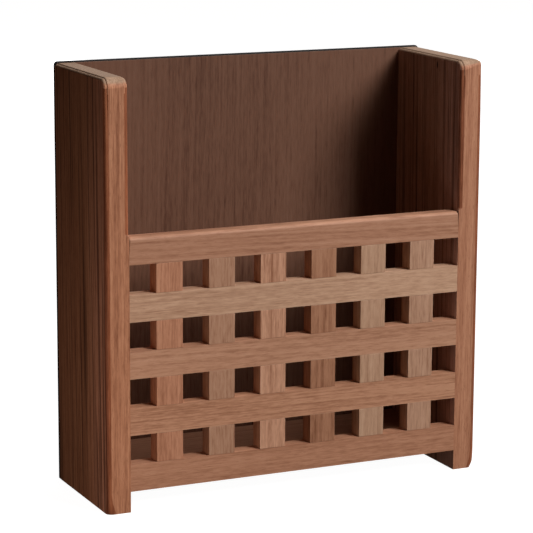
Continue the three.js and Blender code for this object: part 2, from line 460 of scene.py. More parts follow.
        # Painted highlight mixed with rubbed wear: faces marked arris_and_highlight are lightened
        share = graph.times(graph.mark("arris_and_highlight"), UNEVEN.read(graph, place))
        colour = graph.mix(share, colour, graph.tinted(colour, self.rubbed_and_highlit))
        colour = graph.mix(graph.mark("darkened_round"), colour, graph.tinted(colour, self.darkened_round))
        for knot in self.knots:
            where = graph.coordinate("Object")
            away = graph.vector("DIVIDE", graph.vector("SUBTRACT", where, knot.middle), knot.reach)
            ragged = graph.times(RAGGED.read(graph, where), knot.ragged)
            far = graph.math("ADD", graph.length(away), ragged)
            colour = graph.mix(graph.without(graph.span(far, *knot.fade)), colour, knot.colour)
        return colour

    def material(self, name: str, centre: Vector) -> Material:
        """Builds the material of one board.

        Args:
            name: Its name.
            centre: The board's middle.

        Returns:
            The material.
        """
        material, graph, shader = new_surface(name)
        place = self.place(graph, centre)
        colour, fibres, pores = self.colour(graph, place)
        rough = self.roughness
        for layer, added in zip((fibres, pores, self.end_share(graph)), self.added_roughness):
            rough = graph.math("ADD", rough, graph.times(layer, added))
        height = graph.math("SUBTRACT", graph.times(fibres, 0.6), pores)
        graph.feed(shader, {
            "Base Color": self.aged(graph, place, colour),
            "Roughness": rough,
            "Normal": graph.bump(height, 0.4, self.relief),
            "Specular IOR Level": 0.25,
        })
        return material


@dataclass(frozen=True)
class DarkEdgedPly:
    """Thin teak-faced plywood whose sawn edges are stained nearly black."""

    veneer: Wood
    edge: Colour = (0.014, 0.012, 0.012)
    core: Colour = (0.032, 0.022, 0.018)
    plies: int = 3
    glue_line: Pair = (0.30, 0.42)

    def material(self, name: str, centre: Vector, thickness: float) -> Material:
        """Builds the panel's material.

        Args:
            name: Its name.
            centre: The panel's middle.
            thickness: The panel's thickness.

        Returns:
            The material.
        """
        material = self.veneer.material(name, centre)
        graph = Graph(material.node_tree)
        shader = next(node for node in graph.tree.nodes if node.type == "BSDF_PRINCIPLED")
        face_colour = shader.inputs["Base Color"].links[0].from_socket
        depth = graph.math("SUBTRACT", graph.part("Object", "Y"), centre.y)
        level = graph.math("DIVIDE", depth, thickness / self.plies)
        band = graph.span(graph.math("PINGPONG", level, 0.5), *self.glue_line)
        flecks = graph.times(FLECKS.read(graph, graph.coordinate("Object")), band)
        edge = graph.mix(flecks, self.edge, self.core)
        graph.feed(shader, {"Base Color": graph.mix(graph.mark("sawn"), face_colour, edge)})
        return material


@dataclass(frozen=True)
class Steel:
    """Stainless steel as a screw has it: turned, a little scuffed and stained."""

    colour: Colour = (0.78, 0.77, 0.75)
    stain: Colour = (0.33, 0.31, 0.29)
    stained: float = 0.35
    roughness: float = 0.22
    scuffed: float = 0.22
    relief: float = 0.03 * MM

    def material(self, name: str) -> Material:
        """Builds the material.

        Args:
            name: Its name.

        Returns:
            The material.
        """
        material, graph, shader = new_surface(name)
        where = graph.coordinate("Object")
        scuffs = SCUFFS.read(graph, where)
        stains = graph.times(STAINS.read(graph, where), self.stained)
        graph.feed(shader, {
            "Base Color": graph.mix(stains, self.colour, self.stain),
            "Roughness": graph.math("ADD", self.roughness, graph.times(scuffs, self.scuffed)),
            "Normal": graph.bump(scuffs, 0.2, self.relief),
            "Metallic": 1.0,
        })
        return material


@dataclass(frozen=True)
class PaleFloor:
    """A plain pale studio floor."""

    colour: Colour = (0.30, 0.30, 0.30)
    shade: Colour = (0.26, 0.26, 0.26)
    clouded: float = 0.2
    glow: float = 0.975

    def material(self, name: str) -> Material:
        """Builds the material.

        Args:
            name: Its name.

        Returns:
            The material.
        """
        material, graph, shader = new_surface(name)
        cloud = graph.times(CLOUD.read(graph, graph.coordinate("Object")), self.clouded)
        graph.feed(shader, {
            "Base Color": graph.mix(cloud, self.colour, self.shade),
            "Roughness": 0.9,
            "Specular IOR Level": 0.0,
            "Emission Color": (1.0, 1.0, 1.0, 1.0),
            "Emission Strength": self.glow,
        })
        return material


# Both side boards carry painted bounce light on their wide faces (painted_front_light)
SIDE_WOODS = (
    Wood(light=(0.585, 0.285, 0.165), middle=(0.445, 0.192, 0.103), dark=(0.230, 0.080, 0.038), seed=3,
         pith=(0.05, 0.16), rings=0.30, streaks=0.45, threads=0.55, fibres=0.50, broad=0.5,
         pore_depth=0.42, fibre_rate=60.0, face_streaks=0.8, painted_front_light=0.6),
    Wood(light=(0.540, 0.262, 0.155), middle=(0.410, 0.178, 0.100), dark=(0.215, 0.075, 0.036), seed=5,
         pith=(0.07, 0.13), rings=0.30, streaks=0.40, threads=0.50, fibres=0.50, pore_depth=0.42,
         fibre_rate=60.0, face_streaks=0.8, painted_front_light=0.5, face_tint=(0.84, 1.08, 1.36),
         knots=(Knot((0.119, -0.0128, 0.2757)),)),
)
RAIL_WOODS = (
    Wood(grain=Grain.ACROSS, seed=11, pith=(0.12, 0.10), tint=(1.06, 1.07, 1.07)),
    Wood(grain=Grain.ACROSS, seed=12, pith=(0.16, 0.06), tint=(1.17, 1.24, 1.25)),
    Wood(grain=Grain.ACROSS, seed=13, pith=(0.10, 0.15), tint=(1.11, 1.20, 1.24)),
    Wood(grain=Grain.ACROSS, seed=14, pith=(0.18, 0.08), rings=0.15, threads=0.2, mottle=0.30,
         tint=(1.30, 1.67, 1.86)),
    Wood(grain=Grain.ACROSS, seed=15, pith=(0.13, 0.12), rings=0.4, tint=(0.98, 1.01, 1.03)),
)
SLAT_WOODS = (
    Wood(seed=21, pith=(0.09, 0.12), streaks=0.40, tint=(1.16, 1.13, 1.12)),
    Wood(seed=22, pith=(0.15, 0.07), mottle=0.55, tint=(0.95, 1.06, 1.11)),
    Wood(seed=23, pith=(0.12, 0.09), streaks=0.40, tint=(1.32, 1.48, 1.59)),
    Wood(seed=24, pith=(0.06, 0.14), streaks=0.40, tint=(0.91, 0.92, 0.89)),
    Wood(seed=25, pith=(0.17, 0.10), rings=0.2, tint=(1.10, 1.37, 1.49)),
    Wood(seed=26, pith=(0.14, 0.08), rings=0.2, tint=(1.12, 1.36, 1.51)),
)
BOARD_WOOD = Wood(grain=Grain.ACROSS, seed=31, pith=(0.11, 0.13), tint=(0.80, 0.78, 0.76))
# Painted shade: the back panel's veneer is darkened to about a third, the shade of the pocket
SHADED_BACK_WOOD = Wood(seed=41, pith=(0.20, 0.10), tint=(0.335, 0.315, 0.315))
BEECH_WOOD = Wood(
    light=(0.66, 0.47, 0.30), middle=(0.58, 0.39, 0.23), dark=(0.40, 0.25, 0.14),
    grain=Grain.ACROSS, seed=51, pith=(0.10, 0.10), rings=0.15, roughness=0.63,
)


# ---------------------------------------------------------------- mesh work
PAST = 2 * MM
HAIR = 0.01 * MM
# Face marks: faces lightened as rubbed wear and painted highlight, and the darkened front-edge rounds
FLOAT_LAYERS = ("arris_and_highlight", "darkened_round")


def middle_of(name: str) -> Vector:
    """Returns the middle of a CAD node's box."""
    low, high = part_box(name)
    return (low + high) / 2


def as_object(name: str, mesh: bpy.types.Mesh) -> Object:
    """Links a mesh into the scene.

    Args:
        name: The object's name.
        mesh: Its mesh.

    Returns:
        The object, at the origin.
    """
    made = bpy.data.objects.new(name, mesh)
    bpy.context.scene.collection.objects.link(made)
    return made


def solid(name: str, build: BMesh) -> Object:
    """Turns a finished bmesh into an object with its faces pointing out.

    Args:
        name: The object's name.
        build: The bmesh, which is used up.

    Returns:
        The object.
    """
    bmesh.ops.recalc_face_normals(build, faces=build.faces)
    mesh = bpy.data.meshes.new(name)
    build.to_mesh(mesh)
    build.free()
    return as_object(name, mesh)


def bake(made: Object) -> None:
    """Replaces an object's mesh by what its modifiers make of it, and drops them.

    Args:
        made: The object.
    """
    graph = bpy.context.evaluated_depsgraph_get()
    graph.update()
    mesh = bpy.data.meshes.new_from_object(made.evaluated_get(graph))
    made.modifiers.clear()
    made.data = mesh


def add_box(build: BMesh, low: Sequence[float], high: Sequence[float]) -> None:
    """Adds a closed box.

    Args:
        build: The mesh that it is added to.
        low: Its lowest corner.
        high: Its highest corner.
    """
    size = Vector(high) - Vector(low)
    middle = Matrix.Translation((Vector(high) + Vector(low)) / 2)
    bmesh.ops.create_cube(build, size=1.0, matrix=middle @ Matrix.Diagonal((*size, 1.0)))


def add_bar(build: BMesh, middle: Vector, axis: int, reach: Pair, radii: Pair, sides: int = 32) -> None:
    """Adds a closed round bar or cone along an axis.

    Args:
        build: The mesh that it is added to.
        middle: A point on its axis.
        axis: 0, 1 or 2 for X, Y or Z.
        reach: Where it starts and ends along the axis.
        radii: Its radius at the start and at the end.
        sides: Facets round it.
    """
    start, end = middle.copy(), middle.copy()
    start[axis], end[axis] = reach
    turn = (end - start).to_track_quat("Z", "Y").to_matrix().to_4x4()
    bmesh.ops.create_cone(
        build, cap_ends=True, segments=sides, radius1=radii[0], radius2=radii[1],
        depth=(end - start).length, matrix=Matrix.Translation((start + end) / 2) @ turn,
    )


def prism(outline: Sequence[Point], along: Vector) -> BMesh:
    """Pushes a flat outline along a direction.

    Args:
        outline: The outline's points, in order.
        along: How far and which way it goes.

    Returns:
        The closed solid.
    """
    build = bmesh.new()
    face = build.faces.new([build.verts.new(point) for point in outline])
    swept = bmesh.ops.extrude_face_region(build, geom=[face])["geom"]
    moved = [part for part in swept if isinstance(part, bmesh.types.BMVert)]
    bmesh.ops.translate(build, vec=along, verts=moved)
    return build


def loft(build: BMesh, rings: Sequence[Sequence[Point]]) -> list[list[bmesh.types.BMFace]]:
    """Joins rings of equally many points into a closed solid.

    Args:
        build: The mesh that it is added to.
        rings: Each ring's points, in order.

    Returns:
        The faces between each ring and the next.
    """
    loops = [[build.verts.new(point) for point in ring] for ring in rings]
    rows = []
    for first, second in zip(loops, loops[1:]):
        quads = zip(first, first[1:] + first[:1], second[1:] + second[:1], second)
        rows.append([build.faces.new(quad) for quad in quads])
    build.faces.new(loops[0])
    build.faces.new(loops[-1])
    return rows


def polar(radius: float, angle: float, z: float) -> Point:
    """Returns the point at an angle, in radians, and a radius about Z."""
    return radius * math.cos(angle), radius * math.sin(angle), z


def arc(centre: Pair, radius: float, start: float, end: float, steps: int) -> list[Pair]:
    """Walks along an arc.

    Args:
        centre: The arc's centre.
        radius: Its radius.
        start: Where it starts, in degrees.
        end: Where it ends.
        steps: How many steps it takes.

    Returns:
        The points, both ends included.
    """
    angles = [math.radians(start + (end - start) * n / steps) for n in range(steps + 1)]
    return [(centre[0] + radius * math.cos(a), centre[1] + radius * math.sin(a)) for a in angles]


def cut(made: Object, cutters: BMesh) -> None:
    """Takes solids out of an object.

    Args:
        made: The object.
        cutters: Closed solids, which are used up.
    """
    tool = solid("cutter", cutters)
    difference = made.modifiers.new("cut", "BOOLEAN")
    difference.operation = "DIFFERENCE"
    difference.solver = "EXACT"
    difference.object = tool
    bake(made)
    bpy.data.objects.remove(tool)


def ease_edges(
    made: Object,
    width: float,
    chosen: Callable[[Sequence[Vector]], bool] = lambda ends: True,
    segments: int = 2,
) -> None:
    """Takes the sharpness off an object's edges, and marks the new faces as arrises.

    Args:
        made: The object.
        width: How far each edge is set back.
        chosen: Whether to ease a sharp edge, from its two ends; by default every one.
        segments: Facets across each eased edge.
    """
    build = bmesh.new()
    build.from_mesh(made.data)
    bmesh.ops.remove_doubles(build, verts=build.verts, dist=0.2 * HAIR)
    flat = math.radians(0.5)
    bmesh.ops.dissolve_limit(build, angle_limit=flat, verts=build.verts, edges=build.edges)
    arris_and_highlight = build.faces.layers.float.get("arris_and_highlight") or build.faces.layers.float.new("arris_and_highlight")
    sharp = [
        edge for edge in build.edges
        if len(edge.link_faces) == 2 and edge.calc_face_angle() > math.radians(40)
        and chosen([vert.co for vert in edge.verts])
    ]
    eased = bmesh.ops.bevel(
        build, geom=sharp, offset=width, segments=segments, profile=0.5, affect="EDGES", clamp_overlap=True
    )
    for face in eased["faces"]:
        face[arris_and_highlight] = 1.0
    build.to_mesh(made.data)
    build.free()


def mark_faces(made: Object, name: str, chosen: Callable[[Vector], bool]) -> None:
    """Writes 1 or 0 on every face.

    Args:
        made: The object.
        name: The attribute that is written.
        chosen: Whether a face gets 1, from its normal.
    """
    layer = made.data.attributes.get(name) or made.data.attributes.new(name, "FLOAT", "FACE")
    for face in made.data.polygons:
        layer.data[face.index].value = 1.0 if chosen(face.normal) else 0.0


def finish_piece(made: Object, material: Material, nodes: Iterable[str]) -> None:
    """Dresses a piece and hangs it on the frame.

    Args:
        made: The piece.
        material: Its finish.
        nodes: The CAD nodes that it stands for.
    """
    made.data.materials.clear()
    made.data.materials.append(material)
    made.data.shade_smooth()
    made.data.set_sharp_from_angle(angle=math.radians(32))
    weighted = made.modifiers.new("flat faces lead", "WEIGHTED_NORMAL")
    weighted.keep_sharp = True
    weighted.weight = 100
    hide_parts(*nodes)
    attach(made, BODY)
    log.info("%s: %d faces", made.name, len(made.data.polygons))


# ---------------------------------------------------------------- geometry nodes
class Recipe:
    """A geometry node tree with named inputs, run once on an object."""

    def __init__(self, name: str, inputs: Sequence[tuple[str, str]]) -> None:
        """Starts a tree.

        Args:
            name: The tree's name.
            inputs: Each input's name and kind of socket, such as Float.
        """
        self.tree = bpy.data.node_groups.new(name, "GeometryNodeTree")
        self.graph = Graph(self.tree)
        sockets = self.tree.interface
        sockets.new_socket(name="Geometry", in_out="INPUT", socket_type="NodeSocketGeometry")
        self.ids = {
            label: sockets.new_socket(name=label, in_out="INPUT", socket_type=f"NodeSocket{kind}").identifier
            for label, kind in (*inputs, ("Finish", "Material"))
        }
        sockets.new_socket(name="Geometry", in_out="OUTPUT", socket_type="NodeSocketGeometry")
        self.given = self.graph.add("NodeGroupInput").outputs

    def close(self, geometry: Socket) -> None:
        """Ends the tree in real geometry with the finish on it.

        Args:
            geometry: What the tree has made.
        """
        real = self.graph.add("GeometryNodeRealizeInstances", {"Geometry": geometry})
        values = {"Geometry": real.outputs["Geometry"], "Material": self.given["Finish"]}
        painted = self.graph.add("GeometryNodeSetMaterial", values)
        self.graph.add("NodeGroupOutput", {"Geometry": painted.outputs["Geometry"]})

    def run(self, made: Object, values: dict[str, object]) -> Object:
        """Runs the tree on an object and keeps the plain mesh.

        Args:
            made: The object, whose own mesh is the tree's geometry input.
            values: Each input's value, by its name.

        Returns:
            The same object.
        """
        modifier = made.modifiers.new(self.tree.name, "NODES")
        modifier.node_group = self.tree
        for label, value in values.items():
            modifier[self.ids[label]] = value
        bake(made)
        return made


def slat_recipe() -> Recipe:
    """A slat: a bar less one lap for each rail that crosses its front.

    Returns:
        The tree, whose inputs are the bar's size and middle and the laps' row.
    """
    vectors = ("Size", "Middle", "Lap size", "First lap", "Lap step")
    recipe = Recipe("half-lapped slat", (*((name, "Vector") for name in vectors), ("Laps", "Int")))
    graph, given = recipe.graph, recipe.given
    bar = graph.add("GeometryNodeMeshCube", {"Size": given["Size"]}).outputs["Mesh"]
    values = {"Geometry": bar, "Translation": given["Middle"]}
    bar = graph.add("GeometryNodeTransform", values).outputs["Geometry"]
    values = {"Count": given["Laps"], "Start Location": given["First lap"], "Offset": given["Lap step"]}
    row = graph.add("GeometryNodeMeshLine", values).outputs["Mesh"]
    lap = graph.add("GeometryNodeMeshCube", {"Size": given["Lap size"]}).outputs["Mesh"]
    values = {"Points": row, "Instance": lap}
    laps = graph.add("GeometryNodeInstanceOnPoints", values).outputs["Instances"]
    laps = graph.add("GeometryNodeRealizeInstances", {"Geometry": laps}).outputs["Geometry"]
    values = {"Mesh 1": bar, "Mesh 2": laps}
    lapped = graph.add("GeometryNodeMeshBoolean", values, operation="DIFFERENCE", solver="EXACT")
    recipe.close(lapped.outputs["Mesh"])
    return recipe


def copies_recipe() -> Recipe:
    """Copies of one fastener on the object's own points.

    Returns:
        The tree, whose inputs are the fastener, its turn and how far each copy is spun.
    """
    inputs = (("Fastener", "Object"), ("Turn", "Rotation"), ("Most spin", "Float"), ("Seed", "Int"))
    recipe = Recipe("fasteners on points", inputs)
    graph, given = recipe.graph, recipe.given
    values = {"Object": given["Fastener"], "As Instance": True}
    fastener = graph.add("GeometryNodeObjectInfo", values).outputs["Geometry"]
    values = {"Points": given["Geometry"], "Instance": fastener, "Rotation": given["Turn"]}
    copies = graph.add("GeometryNodeInstanceOnPoints", values).outputs["Instances"]
    values = {"Max": given["Most spin"], "Seed": given["Seed"]}
    spin = graph.add("FunctionNodeRandomValue", values, data_type="FLOAT").outputs["Value"]
    angle = graph.add("ShaderNodeCombineXYZ", {"Z": spin}).outputs["Vector"]
    turned = graph.add("GeometryNodeRotateInstances", {"Instances": copies, "Rotation": angle})
    recipe.close(turned.outputs["Instances"])
    return recipe


def place_copies(recipe: Recipe, name: str, places: Sequence[Vector], values: dict[str, object]) -> Object:
    """Puts copies of a fastener on points.

    Args:
        recipe: The tree that copies it.
        name: The name of the object that the copies become.
        places: The points.
        values: The tree's inputs; the fastener among them is used up.

    Returns:
        The object.
    """
    points = bpy.data.meshes.new(f"{name}_places")
    points.from_pydata(places, [], [])
    made = recipe.run(as_object(name, points), values)
    bpy.data.objects.remove(values["Fastener"])
    return made


# ---------------------------------------------------------------- the rack
@dataclass
class Lattice:
    """Five rails across the front and six slats lapped into their backs."""

    joint: float = 0.06 * MM
    eased: float = 0.35 * MM
    top_round: float = 2.5 * MM
    end_round: float = 1.3 * MM
    stopped_lap: float = 10.0 * MM
    dowel_radius: float = 3.05 * MM
    rail_finish: tuple[Wood, ...] = RAIL_WOODS
    slat_finish: tuple[Wood, ...] = SLAT_WOODS

    def rail(self, number: int) -> None:
        """Builds one rail; the top rail's top front edge and its ends there are rounded.

        Args:
            number: Its place, counted from the bottom.
        """
        name = RAILS[number]
        low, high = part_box(name)
        is_top = name == RAILS[-1]
        section = [(low.y, low.z), (high.y, low.z), (high.y, high.z), (low.y, high.z)]
        if is_top:
            centre = (low.y + self.top_round, high.z - self.top_round)
            section[-1:] = arc(centre, self.top_round, 90.0, 180.0, 8)
        along = Vector((high.x - low.x, 0.0, 0.0))
        made = solid(f"{name}_teak", prism([(low.x, y, z) for y, z in section], along))
        if is_top:
            bend = high.z - self.top_round - HAIR
            ease_edges(made, self.end_round, lambda ends: all(
                abs(abs(end.x) - high.x) < HAIR and end.z > bend for end in ends
            ), 4)
        floor_z = high.z - self.stopped_lap if number == 0 else low.z - MM
        roof_z = low.z + self.stopped_lap if is_top else high.z + MM
        tools = bmesh.new()
        for slat in SLATS:
            left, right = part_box(slat)
            corner = (left.x - self.joint, (low.y + high.y) / 2, floor_z)
            add_box(tools, corner, (right.x + self.joint, high.y + MM, roof_z))
        for side in ("left", "right"):
            start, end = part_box(f"{name}_dowel_{side}")
            reach = (start.x - self.joint, end.x + self.joint)
            add_bar(tools, (start + end) / 2, 0, reach, (self.dowel_radius, self.dowel_radius))
        cut(made, tools)
        ease_edges(made, self.eased, lambda ends: any(abs(abs(end.x) - high.x) > HAIR for end in ends))
        # Painted highlight: the rails' upward faces are marked to be lightened
        mark_faces(made, "arris_and_highlight", lambda normal: normal.z > 0.3)
        material = self.rail_finish[number].material(f"{name}_teak", (low + high) / 2)
        finish_piece(made, material, [name])

    def slat(self, recipe: Recipe, number: int) -> None:
        """Builds one slat.

        Args:
            recipe: The tree that laps it.
            number: Its place, counted from the left.
        """
        name = SLATS[number]
        low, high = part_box(name)
        first_low, first_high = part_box(RAILS[0])
        next_low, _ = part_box(RAILS[1])
        middle = (low + high) / 2
        depth = (high.y - low.y) / 2 + self.joint + MM
        lap = Vector((high.x - low.x + PAST, depth, first_high.z - first_low.z + 2 * self.joint))
        material = self.slat_finish[number].material(f"{name}_teak", middle)
        made = recipe.run(as_object(f"{name}_teak", bpy.data.meshes.new(name)), {
            "Size": high - low,
            "Middle": middle,
            "Lap size": lap,
            "First lap": Vector((middle.x, low.y - MM + lap.y / 2, (first_low.z + first_high.z) / 2)),
            "Lap step": Vector((0.0, 0.0, next_low.z - first_low.z)),
            "Laps": len(RAILS),
            "Finish": material,
        })
        ease_edges(made, self.eased)
        finish_piece(made, material, [name])

    def build(self) -> None:
        """Builds every rail and slat."""
        for number in range(len(RAILS)):
            self.rail(number)
        recipe = slat_recipe()
        for number in range(len(SLATS)):
            self.slat(recipe, number)


@dataclass
class ScrewSet:
    """The countersunk screws that hold the back panel."""

    head_radius: float = 3.0 * MM
    head_depth: float = 1.8 * MM
    head_rim: float = 0.15 * MM
    thread_radius: float = 1.5 * MM
    root_radius: float = 1.05 * MM
    pitch: float = 1.2 * MM
    crest: float = 3.2
    tip: float = 2.4 * MM
    least_tip: float = 0.06
    sides: int = 24
    steps_per_turn: int = 6
    recess: float = 1.5 * MM
    recess_width: float = 0.62 * MM
    recess_depth: float = 1.3 * MM
    recess_taper: float = 0.55
    steel: Steel = Steel()

    def radius(self, depth: float, length: float, angle: float) -> float:
        """The screw's radius.

        Args:
            depth: Distance below the head's face.
            length: The screw's length.
            angle: Direction round the axis, in radians.

        Returns:
            The radius there, thread included.
        """
        if depth < self.head_depth:
            share = max(0.0, depth - self.head_rim) / (self.head_depth - self.head_rim)
            return self.head_radius + (self.root_radius - self.head_radius) * share
        wave = (depth / self.pitch - angle / math.tau) % 1.0
        crest = max(0.0, 1 - abs(wave - 0.5) * self.crest)
        start = min(1.0, (depth - self.head_depth) / self.pitch)
        taper = max(self.least_tip, min(1.0, (length - depth) / self.tip))
        return (self.root_radius + crest * start * (self.thread_radius - self.root_radius)) * taper

    def template(self, length: float) -> Object:
        """Builds one screw along -Z, its head's face at the origin.

        Args:
            length: The screw's length.

        Returns:
            The screw.
        """
        count = round((length - self.head_depth) / self.pitch * self.steps_per_turn)
        depths = [0.0, self.head_rim, self.head_depth]
        depths += [self.head_depth + (length - self.head_depth) * n / count for n in range(1, count + 1)]
        angles = [math.tau * n / self.sides for n in range(self.sides)]
        build = bmesh.new()
        loft(build, [[polar(self.radius(d, length, a), a, -d) for a in angles] for d in depths])
        made = solid("back_screw", build)
        reach, half = self.recess, self.recess_width / 2
        arm = [(reach, -half), (reach, half), (half, half)]
        cross = []
        for _ in range(4):
            cross += arm
            arm = [(-y, x) for x, y in arm]
        levels = ((1.0, MM), (self.recess_taper, -self.recess_depth))
        tools = bmesh.new()
        loft(tools, [[(share * x, share * y, z) for x, y in cross] for share, z in levels])
        cut(made, tools)
        return made

    def build(self, recipe: Recipe) -> None:
        """Puts a screw at each place of the frame.

        Args:
            recipe: The tree that copies a fastener onto points.
        """
        low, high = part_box(SCREWS[0])
        places = [middle_of(screw) for screw in SCREWS]
        for place in places:
            place.y = high.y
        material = self.steel.material("screw_steel")
        made = place_copies(recipe, "back_screws", places, {
            "Fastener": self.template(high.y - low.y),
            "Turn": Euler((math.radians(-90.0), 0.0, 0.0)),
            "Most spin": math.tau,
            "Seed": 7,
            "Finish": material,
        })
        finish_piece(made, material, SCREWS)


def drill_pilots(tools: BMesh, low: Vector, high: Vector) -> None:
    """Adds the pilot holes of the screws that go into a board.

    Args:
        tools: The cutters that they are added to.
        low: The board's lowest corner.
        high: Its highest corner.
    """
    for screw in SCREWS:
        middle = middle_of(screw)
        if low.x < middle.x < high.x and low.z < middle.z < high.z:
            reach = (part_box(screw)[0].y + MM, high.y + PAST)
            add_bar(tools, middle, 1, reach, (ScrewSet.root_radius, ScrewSet.root_radius), 16)


@dataclass
class DowelSet:
    """The fluted dowels hidden between the rails and the side boards."""

    wood: Wood
    flutes: int = 16
    flute_depth: float = 0.25 * MM
    chamfer: float = 0.7 * MM

    def template(self, radius: float, length: float) -> Object:
        """Builds one dowel along Z about the origin.

        Args:
            radius: The dowel's radius.
            length: Its length.

        Returns:
            The dowel.
        """
        half = length / 2
        shoulder = half - self.chamfer
        angles = [math.tau * n / (4 * self.flutes) for n in range(4 * self.flutes)]
        grooves = [self.flute_depth * max(0.0, math.cos(self.flutes * angle)) for angle in angles]
        build = bmesh.new()
        loft(build, [
            [polar(radius - max(less, groove), angle, z) for angle, groove in zip(angles, grooves)]
            for z, less in ((-half, self.chamfer), (-shoulder, 0.0), (shoulder, 0.0), (half, self.chamfer))
        ])
        return solid("rail_dowel", build)

    def build(self, recipe: Recipe) -> None:
        """Puts a dowel at each place of the frame.

        Args:
            recipe: The tree that copies a fastener onto points.
        """
        low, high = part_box(DOWELS[0])
        material = self.wood.material("dowel_beech", Vector((0.0, low.y, 0.0)))
        made = place_copies(recipe, "rail_dowels", [middle_of(dowel) for dowel in DOWELS], {
            "Fastener": self.template((high.z - low.z) / 2, high.x - low.x),
            "Turn": Euler((0.0, math.radians(90.0), 0.0)),
            "Most spin": 0.4,
            "Seed": 3,
            "Finish": material,
        })
        finish_piece(made, material, DOWELS)


@dataclass
class SideBoard:
    """A solid side board with a stepped round routed along its top and front edges."""

    name: str
    side: int
    wood: Wood
    edge_round: float = 2.0 * MM
    round_steps: int = 7
    edge_step: float = 0.65 * MM
    step_slant: float = 0.80 * MM
    corner_radius: float = 6.5 * MM
    outer_corner: float = 6.5 * MM
    run_out: float = 2.5 * MM
    step_fade: float = 28.0 * MM
    faded: Pair = (0.85, 0.6)
    least_round: float = 0.02
    foot_flare: float = 1.1
    flare_height: float = 14.0 * MM
    foot_cut: Pair = (0.0, 0.0)
    foot_ease: float = 0.5 * MM
    clearance: float = 0.06 * MM

    def __post_init__(self) -> None:
        """Takes the board's place from the frame."""
        self.low, self.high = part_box(self.name)
        self.rail_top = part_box(RAILS[-1])[1].z
        self.outer_x, self.inner_x = (self.high.x, self.low.x)[:: self.side]

    def profile(self) -> list[tuple[float, float, float]]:
        """The routed edge, from the board's face inwards.

        Returns:
            For each point, its depth, the round's set-in and how much of the step is left.
        """
        angles = [math.radians(90.0 * n / self.round_steps) for n in range(self.round_steps + 1)]
        points = [
            (self.edge_round * (1 - math.cos(a)), self.edge_round * (1 - math.sin(a)), 1.0) for a in angles
        ]
        for share, left in ((0.25, 0.55), (0.7, 0.12), (1.0, 0.0)):
            points.append((self.edge_round + share * self.step_slant, 0.0, left))
        return points

    def outline(self, radius: float) -> list[tuple[float, float, float, float]]:
        """The board seen from its side, round once.

        Args:
            radius: The radius of the top front corner.

        Returns:
            For each point, its y and z, and how it moves in y and z for each metre of set-in.
        """
        low, high, steps = self.low, self.high, 8
        points = [(high.y, 0.0, 0.0, 0.0), (high.y, high.z, 0.0, -1.0)]
        centre = (low.y + radius, high.z - radius)
        for y, z in arc(centre, radius, 90.0, 180.0, 12):
            points.append((y, z, (centre[0] - y) / radius, (centre[1] - z) / radius))
        top = high.z - self.corner_radius
        heights = [top - self.step_fade * n / steps for n in range(1, steps + 1)]
        heights += [self.rail_top + self.run_out * (steps - n) / steps for n in range(steps + 1)]
        heights += [self.flare_height * (steps - n) / steps for n in range(steps + 1)]
        points += [(low.y, z, 1.0, 0.0) for z in heights]
        return points

    def upright(self, y: float, z: float, fade: float) -> float:
        """How far a point of the outline is down the front edge.

        Args:
            y: Its place from front to back.
            z: Its height.
            fade: How far below the corner it reaches 1.

        Returns:
            0 on the top edge and its corner, 1 well below them.
        """
        if y > self.low.y + MM:
            return 0.0
        return min(1.0, max(0.0, (self.high.z - self.corner_radius - z) / fade))

    def strength(self, y: float, z: float, inner: bool) -> Pair:
        """How strong the routed edge is at a point of the outline.

        Args:
            y: Its place from front to back.
            z: Its height.
            inner: True on the pocket's side.

        Returns:
            Shares of the full round and of the full step.
        """
        step = 1 - self.faded[inner] * self.upright(y, z, self.step_fade)
        if inner:
            share = min(1.0, max(0.0, (z - self.rail_top) / self.run_out))
            share = self.least_round + (1 - self.least_round) * share * share * (3 - 2 * share)
            return share, share * step
        low = max(0.0, 1 - z / self.flare_height) if y < self.low.y + MM else 0.0
        return 1 + self.foot_flare * low * low, step

    def ring(self, point: tuple[float, float, float], inner: bool) -> list[Point]:
        """Puts the outline at one point of the profile.

        Args:
            point: The point of the profile.
            inner: True on the pocket's side.

        Returns:
            The ring's points.
        """
        depth, round_in, step_in = point
        ring = []
        for y, z, move_y, move_z in self.outline(self.corner_radius if inner else self.outer_corner):
            rounded, stepped = self.strength(y, z, inner)
            set_in = round_in * rounded + step_in * self.edge_step * stepped
            from_face = self.side * depth * rounded
            x = self.inner_x + from_face if inner else self.outer_x - from_face
            ring.append((x, y + move_y * set_in, z + move_z * set_in))
        return ring

    def shell(self) -> Object:
        """Lofts the outline through the board's thickness.

        Returns:
            The closed solid, its faces to lighten (rubbed rounds, painted highlight on the top corner) and
            its darkened rounds marked.
        """
        profile = self.profile()
        rings = [self.ring(point, False) for point in profile]
        rings += [self.ring(point, True) for point in reversed(profile)]
        outline = self.outline(self.corner_radius)
        edge = len(profile) - 1
        build = bmesh.new()
        for name in FLOAT_LAYERS:
            build.faces.layers.float.new(name)
        arris_and_highlight, darkened_round = (build.faces.layers.float[name] for name in FLOAT_LAYERS)
        for row, faces in enumerate(loft(build, rings)):
            place = min(row, 2 * edge - row)
            for face, here, after in zip(faces, outline, outline[1:] + outline[:1]):
                y, z = here[:2]
                on_corner = y != after[0] and z != after[1] and z > self.rail_top
                # Painted highlight with rubbed wear: the routed rounds and the top-front corner's flat faces
                # are marked to be lightened
                if place < self.round_steps or place == edge and on_corner:
                    face[arris_and_highlight] = 1.0
                # The rounds down the front edges are marked to be darkened
                if place < edge:
                    rounded = min(1.0, self.strength(y, z, row > edge)[0])
                    face[darkened_round] = rounded * self.upright(y, z, self.corner_radius / 2)
        return solid(f"{self.name}_teak", build)

